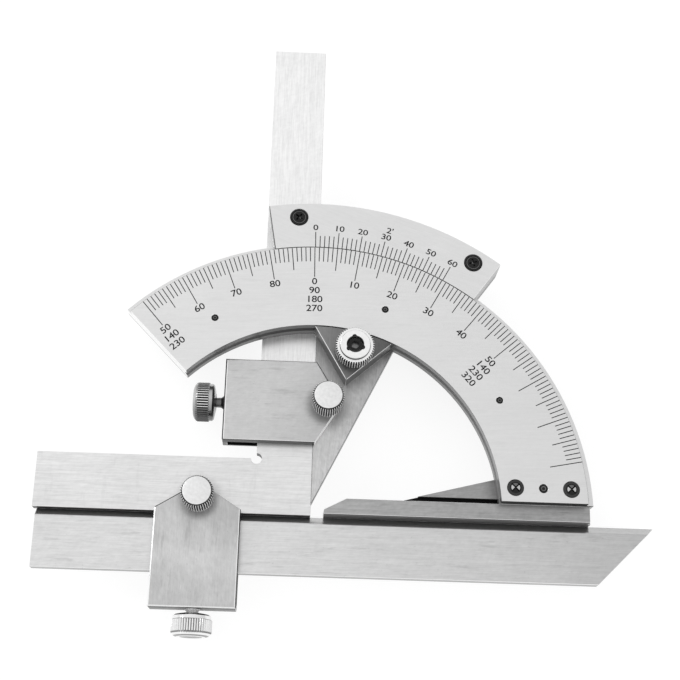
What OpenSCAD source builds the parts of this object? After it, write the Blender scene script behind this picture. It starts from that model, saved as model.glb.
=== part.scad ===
// Universal bevel protractor with a square and a straight blade.
// The origin is the centre of the scale, level with the back of the fan plate.
// X runs along the blade, Y along the upright arm of the square and Z out of the graduated face.

/* [Arms] */
// Thickness of the square and of the straight blade
arm_t = 2.8; // [2:0.1:4]
// Width of both arms of the square
square_w = 13.6; // [12.8:0.2:15]
// Height of the square above the measuring line
square_rise = 127.5; // [100:0.5:170]
// Reach of the square's short arm, from its right edge
square_reach = 66.8; // [50:0.2:90]
// Length of the blade's measuring edge
blade_l = 150; // [130:1:220]
// Width of the straight blade
blade_w = 14.4; // [12:0.2:18]
// How far the blade's tip lies beyond the square's right edge
blade_ahead = 84; // [76:0.5:88]
// Width of the bevel along the blade's measuring edge
bevel_w = 1.9; // [1:0.1:3]
// Height of the narrow flat that is left below the bevel
bevel_land = 0.6; // [0.3:0.1:1.5]
// Radius of the relief hole in the square's inner corner
relief_r = 1.35; // [0.8:0.05:2.5]

/* [Fan plate] */
// Direction of the plate's free edge, in degrees from the blade
plate_lean_angle = 64; // [63:0.5:66]
// Height of the plate's tip above the measuring line
tip_rise = 2.8; // [2.6:0.1:6]

/* [Scale ring] */
// Radius of the ring's inner wall
ring_in_r = 45.3; // [45.1:0.1:50]
// Radial width of the graduated face
ring_w = 20.95; // [20.2:0.05:24]
// Thickness of the ring
ring_t = 6.1; // [5.5:0.1:8]
// Radial width of the low rim that runs under the vernier's lip
rim_w = 1.65; // [1:0.05:2.5]
// Depth of the low rim below the graduated face
rim_drop = 2.4; // [2:0.1:3]
// Direction of the ring's free end, in degrees from the blade
ring_end_angle = 134.6; // [130:0.2:138]

/* [Vernier] */
// Radial width of the vernier beyond the ring's rim
vernier_w = 10.5; // [9:0.25:13]
// Direction of the vernier's left end, in degrees from the blade
vernier_left_angle = 99.9; // [98:0.1:104]
// Direction of the vernier's right end, in degrees from the blade
vernier_right_angle = 54.2; // [52.6:0.2:56]

/* [Base rule] */
// Distance of the measuring line below the centre of the scale
face_drop = 1.2; // [0.8:0.1:1.6]
// Width of the base rule, seen from the front
base_w = 3.8; // [3.4:0.1:4]
// Thickness of the base rule
base_t = 5.9; // [4.5:0.1:6.2]
// Distance of the rule's nose from the centre of the scale
base_x = 2.85; // [2.7:0.05:6]
// Length of the slanted nose along the rule
nose_l = 5.45; // [5:0.05:9]
// Height of the slanted nose
nose_h = 2.85; // [2.5:0.05:3]
// Where the screwed flange begins, from the centre of the scale
flange_x = 19; // [16:0.5:26]
// Slope of the flange's upper edge, in degrees
flange_lean_angle = 14.4; // [12:0.1:16]

/* [Brake] */
// Distance of the brake's axis inside the ring's inner wall
brake_in = 5.1; // [5.05:0.05:6]
// Radius of the knurled brake nut
nut_r = 4.8; // [4:0.1:4.9]
// Height of the knurled brake nut
nut_h = 4; // [3:0.1:6]
// Radius of the brake's stud
stud_r = 1.9; // [1.5:0.05:2.2]
// Gap between the three-cornered guide block and the front knob below it
block_gap = 0.95; // [0.5:0.05:2]

/* [Clamps] */
// Gap between the square's short arm and the clamp above it
clamp_low_gap = 3.9; // [2:0.1:6]
// Gap between that clamp's outer corner and the ring's inner wall
clamp_high_gap = 2.45; // [1.5:0.05:5]
// Thickness of the clamp's front wall
clamp_front = 2.65; // [2:0.05:3]
// Thickness of the clamp's back wall
clamp_back = 0.7; // [0.6:0.05:1.5]
// Thickness of the clamp's side wall
clamp_wall = 1.2; // [0.8:0.1:2]
// Length of the clamp's pointed nose
clamp_nose = 5.6; // [5:0.1:6.5]
// Distance of the blade's clamp from the square's right edge
blade_clamp_in = 27; // [26:0.2:34]
// Radius of the two knurled front knobs
knob_r = 3.95; // [3.4:0.05:4.2]
// Height of the two knurled front knobs
knob_h = 6.1; // [4:0.1:8]
// Radius of the two knurled side screws
side_r = 4.85; // [4:0.05:5]
// Length of the side screws' knurled heads
side_h = 5.3; // [4:0.1:5.6]

/* [Fine adjustment] */
// Tooth module of the sector gear and its pinion
gear_m = 0.5; // [0.48:0.01:0.52]
// Teeth of the small pinion
pinion_teeth = 12; // [11:1:13]
// Direction of the pinion from the centre of the scale, in degrees
pinion_angle = 75.25; // [73:0.25:79]
// Radius of the knurled knob behind the plate
dial_r = 5.5; // [4.5:0.1:7]
// Length of the knurled knob behind the plate
dial_h = 5.6; // [4:0.1:9]

/* [Hidden] */

// Smoothness of large and of small round faces
$fn = 48;
large_fn = 180;
// One overrun that every cut uses
over = 0.5;
// Running gap between pieces that turn or slide on each other
run_gap = 0.05;
// Gap between the blade and the faces that it meets
edge_gap = 0.05;
// How much thinner the arms are than the plate beside them
arm_ease = 0.15;
// Distance of the square's right edge from the centre of the scale
square_in = 0.25;

// Heights
plate_t = arm_t + arm_ease;
arm_z = run_gap;
ring_z = plate_t + run_gap;
face_z = ring_z + ring_t;
rim_z = face_z - rim_drop;

// Radii
scale_r = ring_in_r + ring_w;
rim_r = scale_r + rim_w;
vernier_r = rim_r + vernier_w;

// Places of the arms
square_right = -square_in;
square_left = square_right - square_w;
measure_y = -face_drop;
blade_top = measure_y - edge_gap;
tip_x = square_right + blade_ahead;

// Fan plate
plate_left = square_right + edge_gap;
tip_y = measure_y + tip_rise;
plate_edge_in = 0.1;
ear_gap = 0.25;

// Guide between the block and the ring: a ridge that runs in a groove
guide_w = 2;
guide_depth = 0.75;
guide_z = ring_z + ring_t / 2;

// Guide block, as directions of its corners from the centre of the scale
block_left_angle = 91;
block_right_angle = 65.9;
block_angle = 76.9;
block_drop = 0.2;
block_top = face_z - block_drop;
block_reach_share = 1.3;
block_core_share = 0.5;
dowel_r = 0.8;
dowel_angles = [84.5, 69.5];
dowel_in = 3.4;
dowel_low = 0.4;
dowel_rise = 2.6;

// Brake
brake_r = ring_in_r - brake_in;
brake_angle = 76.8;
washer_t = 0.5;
washer_in = 0.25;
nut_z = block_top + washer_t;
nut_chamfer = 0.4;
collar_in = 1.3;
collar_h = 0.6;
collar_wall = 1.1;
stud_sink = 0.5;
stud_low = 0.3;
socket_r = 0.95;
socket_h = 1.5;

// Screws that hold the vernier on its seat
vernier_screw_r = 1.2;
vernier_head_r = 2.2;
vernier_head_h = 1.3;
vernier_screw_l = 4.2;
vernier_hole_inset = 3.8;
vernier_left_turn_angle = 5.5;
vernier_right_turn_angle = 4.45;
vernier_screw_angles = [vernier_left_angle - vernier_left_turn_angle,
                        vernier_right_angle + vernier_right_turn_angle];

// Screws that hold the seat from behind the plate
seat_screw_r = 1.2;
seat_head_r = 2.3;
seat_head_h = 1.4;
seat_screw_l = 5.6;
seat_screw_angles = [84, 63];
seat_mid_r = (rim_r + vernier_r) / 2;

// Base rule, its flange and its fasteners
base_top = measure_y + base_w;
base_end_in = 0.75;
base_right = rim_r - base_end_in;
flange_in = 0.1;
shadow_w = 0.9;
shadow_h = 1.2;
base_screw_r = 1.3;
base_head_r = 1.95;
base_head_h = 1.5;
base_screw_rise = 3.4;
base_screw_in = 5.8;
base_screw_gap = 13.5;
base_screw_low = 0.5;
base_dowel_r = 1.07;
base_dowel_sink = 0.1;

// Sector gear and pinion, with teeth of the involute form
gear_set = 10.2;
gear_teeth = round(2 * (ring_in_r + gear_set) / gear_m);
gear_r = gear_teeth * gear_m / 2;
pinion_r = pinion_teeth * gear_m / 2;
pinion_place = gear_r + pinion_r;
pressure_angle = 20;
backlash = 0.16;
gear_tip = 0.65 * gear_m;
gear_root = 1.25 * gear_m;
pinion_tip = gear_m;
pinion_root = gear_m;
gear_back = 4.8;
gear_low_angle = 18.5;
gear_high_angle = 122;
groove_ease = 0.4;
groove_h = 3;
groove_z = ring_z + groove_h;
groove_turn_angle = 1.5;
gear_lift = 0.1;
pin_r = 0.87;
pin_hole_inset = 2.6;
pin_sink = 0.05;
zero_angle = 91.25;
pin_angles = [zero_angle + 27.7, zero_angle - 19.6, zero_angle - 59.7];
shaft_r = 1.6;
bush_wall = 1.5;
bush_flange_w = 1.3;
bush_flange_t = 0.6;
dial_gap = 0.15;
dial_chamfer = 0.5;
dial_screw_r = 0.9;
dial_head_r = 1.9;
dial_head_h = 0.8;
dial_screw_l = 3.4;
slot_w = 0.5;
slot_h = 0.35;
shaft_short = 1.2;

// Clamps, in a frame of their own: x runs to the nose and y along the arm
clamp_lip = 0.4;
nose_half = 1.3;
pad_room = 7.4;
pad_w = 2.6;
pad_end_gap = 1.8;
pad_gap = 0.03;
boss_l = 3.2;
boss_w = 6;
clamp_h = clamp_front + plate_t + clamp_back;
clamp_top = plate_t + clamp_front;
plate_clamp_x = square_right + clamp_lip;
clamp_far_x = square_left - pad_room - clamp_wall;
clamp_low = measure_y + square_w + clamp_low_gap;
clamp_high = sqrt(ring_in_r * ring_in_r - clamp_far_x * clamp_far_x) - clamp_high_gap;
clamp_l = clamp_high - clamp_low;
plate_clamp_y = (clamp_low + clamp_high) / 2;
blade_clamp_x = square_right - blade_clamp_in;
blade_clamp_y = blade_top + clamp_lip;
knob_set = 2.9;
knob_shank_r = 1.5;
knob_shank_low = 0.6;
knob_collar_in = 0.8;
knob_collar_h = 0.35;
knob_chamfer = 0.35;
side_shank_r = 1.2;
side_chamfer = 1.3;
side_z = arm_z + arm_t / 2;
square_neck = 2.4;
blade_neck = 1.2;

// A point at a radius and a direction
function on_circle(r, a) = [r * cos(a), r * sin(a)];

// Involute angle, in degrees
function involute(a) = tan(a) * 180 / PI - a;

// Half the angle that a tooth takes at radius r
function half_tooth(r, pitch, teeth) =
    let (base = pitch * cos(pressure_angle))
    90 / teeth - backlash / 4 / pitch * 180 / PI + involute(pressure_angle)
    - (r > base ? involute(acos(base / r)) : 0);

// The outline of one tooth that points along direction a
function tooth(pitch, teeth, root, tip, a, steps) =
    let (radii = [for (i = [0:steps]) root + (tip - root) * i / steps])
    concat([for (i = [0:steps]) on_circle(radii[i], a - half_tooth(radii[i], pitch, teeth))],
           [for (i = [steps:-1:0]) on_circle(radii[i], a + half_tooth(radii[i], pitch, teeth))]);

// The whole outline of a run of teeth
function tooth_run(pitch, teeth, root, tip, first, last, start, steps) =
    [for (k = [first:last]) each tooth(pitch, teeth, root, tip, start + k * 360 / teeth, steps)];

// Part of a ring between two radii, two heights and two directions
module sector(r_in, r_out, low, high, from, to) {
    rotate([0, 0, from])
        rotate_extrude(angle = to - from, $fn = large_fn)
            translate([r_in, low]) square([r_out - r_in, high - low]);
}

// Its children at a radius and a direction
module at_polar(r, a) {
    translate(on_circle(r, a)) children();
}

// A round pin between two heights
module pin(r, low, high) {
    translate([0, 0, low]) cylinder(r = r, h = high - low);
}

// A knurled head's body: a round solid with both rims chamfered
module drum(r, h, chamfer) {
    rotate_extrude()
        polygon([[0, 0], [r - chamfer, 0], [r, chamfer], [r, h - chamfer], [r - chamfer, h], [0, h]]);
}

// The place of each clamp and of each base fastener
module at_plate_clamp() {
    translate([plate_clamp_x, plate_clamp_y, 0]) children();
}

module at_blade_clamp() {
    translate([blade_clamp_x, blade_clamp_y, 0]) rotate([0, 0, 90]) children();
}

module at_base_screws() {
    for (k = [0, 1])
        translate([rim_r - base_screw_in - k * base_screw_gap, base_top + base_screw_rise, 0])
            children();
}

module at_base_dowel() {
    translate([rim_r - base_screw_in - base_screw_gap / 2, base_top + base_screw_rise, 0])
        children();
}

// The plate that carries everything: a pointed fan with an ear for the vernier's right end
module fan_plate() {
    far = 2 * vernier_r;
    color("#a9aaad") difference() {
        linear_extrude(plate_t) union() {
            intersection() {
                circle(r = vernier_r - plate_edge_in, $fn = large_fn);
                polygon([[plate_left, tip_y],
                         [plate_left + far * cos(plate_lean_angle), tip_y + far * sin(plate_lean_angle)],
                         [plate_left, far]]);
            }
            difference() {
                intersection() {
                    circle(r = vernier_r - plate_edge_in, $fn = large_fn);
                    polygon([[0, 0], on_circle(far, vernier_right_angle), on_circle(far, pinion_angle)]);
                }
                circle(r = rim_r + ear_gap, $fn = large_fn);
            }
        }
        at_polar(pinion_place, pinion_angle) pin(shaft_r + bush_wall, -over, plate_t + over);
        at_polar(brake_r, brake_angle) pin(stud_r, stud_low, plate_t + over);
        for (a = dowel_angles)
            at_polar(ring_in_r - dowel_in, a) pin(dowel_r, dowel_low, plate_t + over);
        for (a = seat_screw_angles) at_polar(seat_mid_r, a) {
            pin(seat_screw_r + run_gap, -over, plate_t + over);
            pin(seat_head_r + run_gap, -over, seat_head_h);
        }
        at_plate_clamp() translate([knob_set, 0, 0])
            pin(knob_shank_r + run_gap, -over, plate_t + over);
    }
}

// The raised curved seat that lifts the vernier over the ring's rim
module vernier_seat() {
    color("#c9cacc") difference() {
        sector(rim_r + run_gap, vernier_r, plate_t, rim_z + run_gap,
               vernier_right_angle, vernier_left_angle);
        for (a = seat_screw_angles) at_polar(seat_mid_r, a)
            pin(seat_screw_r + run_gap, plate_t - over, seat_screw_l + over);
        for (a = vernier_screw_angles) at_polar(vernier_r - vernier_hole_inset, a)
            pin(vernier_screw_r + run_gap, face_z - vernier_screw_l - over, face_z);
    }
}

// The graduated vernier, whose inner lip lies over the ring's rim
module vernier_plate() {
    color("#dcdddf") difference() {
        sector(scale_r + run_gap, vernier_r, rim_z + run_gap, face_z,
               vernier_right_angle, vernier_left_angle);
        for (a = vernier_screw_angles) at_polar(vernier_r - vernier_hole_inset, a) {
            pin(vernier_screw_r + run_gap, rim_z - over, face_z + over);
            pin(vernier_head_r + run_gap, face_z - vernier_head_h, face_z + over);
        }
    }
}

module vernier_screws() {
    color("#1c1c1e") for (a = vernier_screw_angles) at_polar(vernier_r - vernier_hole_inset, a) {
        pin(vernier_head_r, face_z - vernier_head_h, face_z);
        pin(vernier_screw_r, face_z - vernier_screw_l, face_z - vernier_head_h);
    }
}

module seat_screws() {
    color("#2a2a2d") for (a = seat_screw_angles) at_polar(seat_mid_r, a) {
        difference() {
            pin(seat_head_r, 0, seat_head_h);
            translate([-seat_head_r, -slot_w / 2, -over]) cube([2 * seat_head_r, slot_w, over + slot_h]);
        }
        pin(seat_screw_r, seat_head_h, seat_screw_l);
    }
}

// The three-cornered block whose ridge guides the ring's inner wall
module guide_block() {
    corner_y = plate_clamp_y + knob_r + block_gap;
    corner = [corner_y / tan(block_angle), corner_y];
    left = on_circle(ring_in_r, block_left_angle);
    right = on_circle(ring_in_r, block_right_angle);
    wall_r = ring_in_r - run_gap;
    color("#6d6e72") difference() {
        intersection() {
            rotate_extrude($fn = large_fn)
                polygon([[block_core_share * ring_in_r, plate_t], [wall_r, plate_t],
                         [wall_r, guide_z - guide_w / 2], [wall_r + guide_depth, guide_z],
                         [wall_r, guide_z + guide_w / 2], [wall_r, block_top],
                         [block_core_share * ring_in_r, block_top]]);
            linear_extrude(face_z)
                polygon([corner, corner + block_reach_share * (left - corner),
                         corner + block_reach_share * (right - corner)]);
        }
        at_polar(brake_r, brake_angle) pin(stud_r + run_gap, plate_t - over, block_top + over);
        for (a = dowel_angles)
            at_polar(ring_in_r - dowel_in, a) pin(dowel_r, plate_t - over, plate_t + dowel_rise);
    }
}

module block_dowels() {
    color("#8d8e92") for (a = dowel_angles)
        at_polar(ring_in_r - dowel_in, a) pin(dowel_r, dowel_low, plate_t + dowel_rise);
}

module brake_stud() {
    top = nut_z + nut_h + collar_h - stud_sink;
    color("#2b2b2e") at_polar(brake_r, brake_angle) difference() {
        pin(stud_r, stud_low, top);
        translate([0, 0, top - socket_h]) cylinder(r = socket_r, h = socket_h + over, $fn = 6);
    }
}

module brake_washer() {
    color("#9a9b9f") at_polar(brake_r, brake_angle) difference() {
        pin(nut_r - washer_in, block_top, nut_z);
        pin(stud_r + run_gap, block_top - over, nut_z + over);
    }
}

// The knurled nut with its raised collar, turning on the stud
module brake_nut() {
    collar_r = nut_r - collar_in;
    color("#d5d6d8") at_polar(brake_r, brake_angle) difference() {
        union() {
            translate([0, 0, nut_z]) drum(nut_r, nut_h, nut_chamfer);
            pin(collar_r, nut_z + nut_h - nut_chamfer, nut_z + nut_h + collar_h);
        }
        pin(stud_r + run_gap, nut_z - over, nut_z + nut_h + collar_h + over);
        pin(collar_r - collar_wall, nut_z + nut_h - collar_h, nut_z + nut_h + collar_h + over);
    }
}

// The graduated ring, cut square to the base rule at its right end
module main_scale() {
    color("#d6d7d9") difference() {
        rotate_extrude(angle = ring_end_angle, $fn = large_fn)
            polygon([[ring_in_r, ring_z], [rim_r, ring_z], [rim_r, rim_z], [scale_r, rim_z],
                     [scale_r, face_z], [ring_in_r, face_z], [ring_in_r, guide_z + guide_w / 2],
                     [ring_in_r + guide_depth, guide_z], [ring_in_r, guide_z - guide_w / 2]]);
        translate([0, base_top - rim_r, 0]) cube([2 * rim_r, rim_r, face_z + over]);
        sector(gear_r - gear_back - groove_ease, pinion_place + pinion_r + pinion_tip + groove_ease,
               ring_z - over, groove_z,
               gear_low_angle - groove_turn_angle, gear_high_angle + groove_turn_angle);
        at_base_screws() {
            pin(base_screw_r + run_gap, ring_z - over, face_z + over);
            pin(base_head_r + run_gap, face_z - base_head_h, face_z + over);
        }
        at_base_dowel() pin(base_dowel_r, ring_z - over, face_z + over);
        for (a = pin_angles) at_polar(gear_r - pin_hole_inset, a) pin(pin_r, ring_z, face_z + over);
    }
}

// The toothed sector that lies in the groove behind the ring
module sector_gear() {
    step = 360 / gear_teeth;
    first = ceil((gear_low_angle - pinion_angle) / step - 0.5);
    last = floor((gear_high_angle - pinion_angle) / step - 0.5);
    color("#8b8c90") difference() {
        translate([0, 0, ring_z + gear_lift]) linear_extrude(groove_h - gear_lift)
            polygon(concat([[0, 0]],
                           tooth_run(gear_r, gear_teeth, gear_r - gear_root, gear_r + gear_tip,
                                     first, last, pinion_angle + step / 2, 2)));
        cylinder(r = gear_r - gear_back, h = face_z, $fn = large_fn);
        for (a = pin_angles) at_polar(gear_r - pin_hole_inset, a) pin(pin_r, ring_z, face_z);
    }
}

module gear_pins() {
    color("#202023") for (a = pin_angles)
        at_polar(gear_r - pin_hole_inset, a) pin(pin_r, ring_z + gear_lift, face_z - pin_sink);
}

// The base rule with its screwed flange, which lies under the ring's right end
module base_rule() {
    reach = rim_r - flange_x;
    color("#8f8a84") difference() {
        union() {
            linear_extrude(base_t)
                polygon([[base_x, measure_y], [base_right, measure_y], [base_right, base_top],
                         [base_x + nose_l, base_top], [base_x, base_top - nose_h]]);
            linear_extrude(ring_z) intersection() {
                circle(r = rim_r - flange_in, $fn = large_fn);
                polygon([[flange_x, measure_y], [rim_r, measure_y],
                         [rim_r, base_top + reach * tan(flange_lean_angle)], [flange_x, base_top]]);
            }
        }
        translate([flange_x, base_top, ring_z - shadow_h]) cube([reach, shadow_w, shadow_h + base_t]);
        at_base_screws() pin(base_screw_r + run_gap, base_screw_low - run_gap, ring_z + over);
        at_base_dowel() pin(base_dowel_r, base_screw_low, ring_z + over);
    }
}

module base_screws() {
    color("#3a3a3d") at_base_screws() {
        pin(base_head_r, face_z - base_head_h, face_z);
        pin(base_screw_r, base_screw_low, face_z - base_head_h);
    }
}

module base_dowel() {
    color("#202023") at_base_dowel() pin(base_dowel_r, base_screw_low, face_z - base_dowel_sink);
}

// The pinion and its shaft, one piece, running through the plate
module pinion() {
    low = -bush_flange_t - dial_gap - dial_h + shaft_short;
    color("#b08d4a") at_polar(pinion_place, pinion_angle) difference() {
        union() {
            translate([0, 0, ring_z + gear_lift]) linear_extrude(groove_h - 2 * gear_lift)
                polygon(tooth_run(pinion_r, pinion_teeth, pinion_r - pinion_root,
                                  pinion_r + pinion_tip, 0, pinion_teeth - 1,
                                  pinion_angle + 180, 4));
            pin(shaft_r, low, ring_z + gear_lift);
        }
        pin(dial_screw_r, low - over, low - over + dial_screw_l);
    }
}

module pinion_bush() {
    color("#b5924c") at_polar(pinion_place, pinion_angle) difference() {
        union() {
            pin(shaft_r + bush_wall, -bush_flange_t, plate_t);
            pin(shaft_r + bush_wall + bush_flange_w, -bush_flange_t, 0);
        }
        pin(shaft_r + run_gap, -bush_flange_t - over, plate_t + over);
    }
}

// The knurled knob behind the plate that turns the pinion
module pinion_knob() {
    top = -bush_flange_t - dial_gap;
    color("#c4c5c8") at_polar(pinion_place, pinion_angle) difference() {
        translate([0, 0, top - dial_h]) drum(dial_r, dial_h, dial_chamfer);
        pin(shaft_r, top - dial_h + shaft_short, top + over);
        pin(dial_screw_r, top - dial_h - over, top);
        pin(dial_head_r, top - dial_h - over, top - dial_h + dial_head_h);
    }
}

module pinion_knob_screw() {
    low = -bush_flange_t - dial_gap - dial_h;
    color("#2a2a2d") at_polar(pinion_place, pinion_angle) difference() {
        union() {
            pin(dial_head_r, low, low + dial_head_h);
            pin(dial_screw_r, low + dial_head_h, low + dial_screw_l);
        }
        translate([-dial_head_r, -slot_w / 2, low - over]) cube([2 * dial_head_r, slot_w, over + slot_h]);
    }
}

// The square: an upright arm and a short arm, with a relief hole in the inner corner
module square_blank() {
    translate([square_left, measure_y]) square([square_w, square_rise]);
    translate([square_right - square_reach, measure_y]) square([square_reach, square_w]);
}

module try_square() {
    color("#e2e3e5") difference() {
        translate([0, 0, arm_z]) linear_extrude(arm_t) square_blank();
        translate([square_left, measure_y + square_w, 0]) pin(relief_r, arm_z - over, plate_t + over);
        at_blade_clamp() translate([knob_set, 0, 0])
            pin(knob_shank_r + run_gap, arm_z - over, plate_t + over);
    }
}

// The straight blade, with a mitred end and a bevel along its measuring edge
module blade() {
    color("#e2e3e5") difference() {
        translate([0, 0, arm_z]) linear_extrude(arm_t)
            polygon([[tip_x - blade_l, blade_top], [tip_x, blade_top],
                     [tip_x - blade_w, blade_top - blade_w], [tip_x - blade_l, blade_top - blade_w]]);
        translate([tip_x - blade_l - over, blade_top, arm_z]) rotate([90, 0, 90])
            linear_extrude(blade_l + 2 * over)
                polygon([[0, bevel_land], [over, bevel_land], [over, arm_t + over],
                         [-bevel_w, arm_t + over], [-bevel_w, arm_t]]);
    }
}

// A clamp: a channel round an arm of the given width, closed on the side away from its nose
module clamp(arm_width) {
    depth = clamp_lip + arm_width + pad_room + clamp_wall;
    half = clamp_l / 2;
    difference() {
        union() {
            difference() {
                translate([0, 0, -clamp_back]) linear_extrude(clamp_h)
                    polygon([[-depth, -half], [0, -half], [clamp_nose, -nose_half],
                             [clamp_nose, nose_half], [0, half], [-depth, half]]);
                translate([clamp_wall - depth, -half - over, 0])
                    cube([depth + clamp_nose, clamp_l + 2 * over, plate_t]);
            }
            translate([-depth, -boss_w / 2, 0]) cube([clamp_wall + boss_l, boss_w, plate_t]);
        }
        translate([knob_set, 0, 0]) pin(knob_shank_r + run_gap, plate_t - over, clamp_top + over);
        translate([-depth - over, 0, side_z]) rotate([0, 90, 0])
            cylinder(r = side_shank_r + run_gap, h = clamp_wall + boss_l + 2 * over);
    }
}

// A front knob: a knurled head, a thin collar and a threaded shank
module clamp_knob() {
    translate([knob_set, 0, 0]) {
        pin(knob_shank_r, knob_shank_low, clamp_top);
        pin(knob_r - knob_collar_in, clamp_top, clamp_top + knob_collar_h);
        translate([0, 0, clamp_top + knob_collar_h]) drum(knob_r, knob_h, knob_chamfer);
    }
}

// The pressure pad that the side screw pushes against the arm
module clamp_pad(arm_width) {
    pad_l = clamp_l - 2 * pad_end_gap;
    translate([-clamp_lip - arm_width - pad_gap - pad_w, -pad_l / 2, arm_z]) cube([pad_w, pad_l, arm_t]);
}

// A side screw, whose tip bears on the pad
module side_screw(arm_width, neck) {
    depth = clamp_lip + arm_width + pad_room + clamp_wall;
    tip = clamp_lip + arm_width + pad_gap + pad_w;
    translate([-tip, 0, side_z]) rotate([0, -90, 0]) {
        cylinder(r = side_shank_r, h = depth + neck - tip);
        translate([0, 0, depth + neck - tip]) drum(side_r, side_h, side_chamfer);
    }
}

module square_clamp() {
    color("#b9babd") at_plate_clamp() clamp(square_w);
}

module square_clamp_knob() {
    color("#d0d1d3") at_plate_clamp() clamp_knob();
}

module square_pad() {
    color("#8b8c90") at_plate_clamp() clamp_pad(square_w);
}

module square_pad_screw() {
    color("#c4c5c8") at_plate_clamp() side_screw(square_w, square_neck);
}

module blade_clamp() {
    color("#b9babd") at_blade_clamp() clamp(blade_w);
}

module blade_clamp_knob() {
    color("#d0d1d3") at_blade_clamp() clamp_knob();
}

module blade_pad() {
    color("#8b8c90") at_blade_clamp() clamp_pad(blade_w);
}

module blade_pad_screw() {
    color("#c4c5c8") at_blade_clamp() side_screw(blade_w, blade_neck);
}

fan_plate();
vernier_seat();
vernier_plate();
vernier_screws();
seat_screws();
guide_block();
block_dowels();
brake_stud();
brake_washer();
brake_nut();
main_scale();
sector_gear();
gear_pins();
base_rule();
base_screws();
base_dowel();
pinion();
pinion_bush();
pinion_knob();
pinion_knob_screw();
try_square();
square_clamp();
square_clamp_knob();
square_pad();
square_pad_screw();
blade();
blade_clamp();
blade_clamp_knob();
blade_pad();
blade_pad_screw();
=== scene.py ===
"""Dresses a universal bevel protractor: finishes, chamfered plates, knurled knobs and graduations.

Every length in the code is in millimetres and is turned into metres where it meets Blender.
The sizes that a user can change are in metres, as Blender holds them.
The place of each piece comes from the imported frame.
"""

import math

import bmesh
import bpy
from bpy.props import FloatProperty, FloatVectorProperty, IntProperty, PointerProperty
from mathutils import Matrix, Vector


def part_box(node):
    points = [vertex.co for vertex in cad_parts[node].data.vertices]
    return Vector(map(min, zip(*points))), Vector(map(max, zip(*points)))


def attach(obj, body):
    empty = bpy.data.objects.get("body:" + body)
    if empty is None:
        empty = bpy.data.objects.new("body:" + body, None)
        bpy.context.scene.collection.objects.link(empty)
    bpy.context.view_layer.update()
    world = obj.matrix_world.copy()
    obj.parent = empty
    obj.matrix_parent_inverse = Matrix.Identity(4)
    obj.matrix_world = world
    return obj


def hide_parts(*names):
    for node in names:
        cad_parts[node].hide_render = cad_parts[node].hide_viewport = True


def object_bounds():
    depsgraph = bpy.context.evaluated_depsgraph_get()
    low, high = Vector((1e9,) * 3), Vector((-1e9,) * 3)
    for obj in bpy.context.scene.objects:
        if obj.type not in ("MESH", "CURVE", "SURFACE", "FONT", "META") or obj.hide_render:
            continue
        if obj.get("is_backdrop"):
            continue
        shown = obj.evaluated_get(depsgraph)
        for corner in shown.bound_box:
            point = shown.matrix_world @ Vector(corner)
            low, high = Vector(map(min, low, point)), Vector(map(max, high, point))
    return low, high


bl_info = {
    "name": "Universal Bevel Protractor",
    "version": (1, 0, 0),
    "blender": (4, 5, 0),
    "location": "View3D > Sidebar > Protractor",
    "description": "Dresses the plates, knobs, screws and graduations of a bevel protractor",
    "category": "Add Mesh",
}

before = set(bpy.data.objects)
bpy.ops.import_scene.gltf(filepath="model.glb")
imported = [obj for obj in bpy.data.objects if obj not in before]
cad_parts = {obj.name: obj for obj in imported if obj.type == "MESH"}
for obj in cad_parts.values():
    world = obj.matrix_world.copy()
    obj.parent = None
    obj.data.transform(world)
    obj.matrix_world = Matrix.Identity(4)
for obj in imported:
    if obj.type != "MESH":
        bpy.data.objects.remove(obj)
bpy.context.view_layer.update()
MM = 0.001


def under(node):
    """The lowest height of a CAD node."""
    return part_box(node)[0].z / MM


def top(node):
    """The highest height of a CAD node."""
    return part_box(node)[1].z / MM


def corners(node):
    """The low and the high corner of a CAD node's box."""
    return [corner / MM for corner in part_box(node)]


def middle(node):
    """The middle of a CAD node's box."""
    low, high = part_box(node)
    return (low + high) / 2 / MM


# Heights of the faces, and radii and zero directions of the graduated pieces
FACE_Z = top("main_scale")
ARM_Z = top("try_square")
VERNIER_R = 78.4
SCALE_R = 66.25
RING_IN_R = 45.3
PIN_R = 52.9
SCREW_R = VERNIER_R - 3.8
ZERO = 91.25
VERNIER_ZERO = 91.12

# Lengths of the lines: for ten, five and one degree, and the long and short ones of the vernier
TEN_LINE, FIVE_LINE, ONE_LINE = 7.95, 6.0, 3.75
LONG_MARK, SHORT_MARK = 4.1, 3.05

# Radius of the numbers' first row, the step to the next row, and how much they are widened
DIGIT_R, DIGIT_ROW, DIGIT_WIDE = 56.95, 2.4, 1.18
SMALL_DIGIT_R, SMALL_DIGIT_WIDE = 71.65, 1.28

# Where the mark of two minutes stands: its radius, and its turn from the vernier's zero
MINUTES_R, MINUTES_TURN = 73.6, 14.9

# How deep the paint of a line goes, and the digits' height as a share of the font's size
LINE_DEPTH = 0.03
DIGIT_SHARE = 0.729

# A face with a normal whose Z is under WALL is a wall, and over FLAT it is level
WALL = 0.85
FLAT = 0.99

# The play in a height that is looked for, and a distance beyond every piece
NEAR = 0.02
FAR = 1000.0

# The angle under which an edge of a knob is shaded smooth, and a pin's
KNOB_SMOOTH = 34
PIN_SMOOTH = 50

# The camera that took the photograph
CAMERA_PLACE = (-4.467, -62.944, 313.528)
CAMERA_TURN = (18.9044, -2.3425, 1.5299)
CAMERA_LENS = 68.895
CAMERA_SHIFT = (0.00208, -0.00027)

# Brightness of the world straight on, and how it changes along X and Z; the floor's own glow
WORLD_LEVEL, WORLD_X, WORLD_Z = 0.80, -0.08, 0.14
FLOOR_GLOW = 0.835

# How far the grain makes the roughness of brushed steel swing to either side
SPREAD = 0.10

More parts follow.
